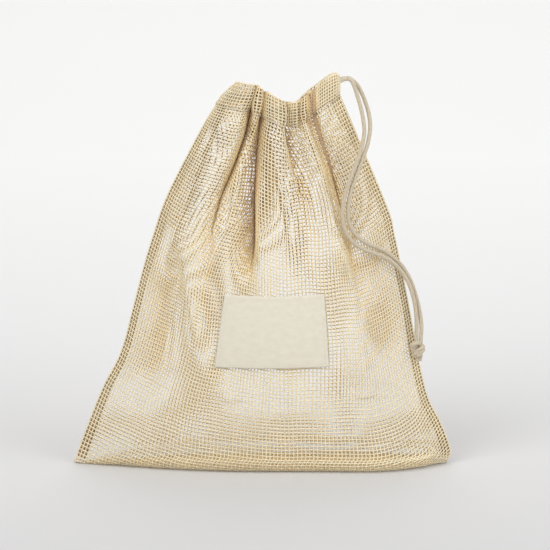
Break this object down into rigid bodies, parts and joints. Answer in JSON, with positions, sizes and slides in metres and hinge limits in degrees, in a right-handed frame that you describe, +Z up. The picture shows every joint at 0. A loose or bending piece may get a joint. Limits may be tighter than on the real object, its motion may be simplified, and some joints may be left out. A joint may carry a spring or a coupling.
{
  "type": "mesh produce bag",
  "caption": "Open-netting cotton produce bag that stands on its folded base, with a drawstring casing at its gathered mouth, a bare sewn-on label and a round cord ending in a knot.",
  "frame": {"origin": "on the floor under the middle of the folded base", "axes": "+Z up from the base to the mouth, +X along the base towards the side where the cord leaves, +Y towards the back panel; the label faces -Y"},
  "size_m": [0.2948, 0.0854, 0.312],
  "materials": {
    "cotton_netting": "open-weave natural cotton",
    "label_cotton": "plain woven cotton",
    "cotton_cord": "round braided cotton",
    "sewing_thread": "matt spun thread"
  },
  "bodies": {
    "bag": {"front_panel": "cotton_netting", "back_panel": "cotton_netting", "left_seam_allowance": "cotton_netting", "right_seam_allowance": "cotton_netting", "left_seam_thread": "sewing_thread", "right_seam_thread": "sewing_thread", "front_casing": "cotton_netting", "back_casing": "cotton_netting", "front_casing_thread": "sewing_thread", "back_casing_thread": "sewing_thread", "label": "label_cotton", "label_thread": "sewing_thread", "drawstring_loop": "cotton_cord"},
    "drawstring_lead": {"drawstring_lead_front": "cotton_cord", "drawstring_lead_back": "cotton_cord"},
    "drawstring_tails": {"drawstring_tail_front": "cotton_cord", "drawstring_tail_back": "cotton_cord", "drawstring_knot": "cotton_cord"}
  },
  "joints": [
    {"name": "drawstring_pull", "type": "slide", "parent": "bag", "child": "drawstring_lead", "axis": [0.8192, 0, 0.5736], "range_m": [0, 0.03]},
    {"name": "drawstring_swing", "type": "hinge", "parent": "drawstring_lead", "child": "drawstring_tails", "pos_m": [0.06515, 0, 0.30483], "axis": [1, 0, 0], "range_deg": [-150, 0]}
  ]
}
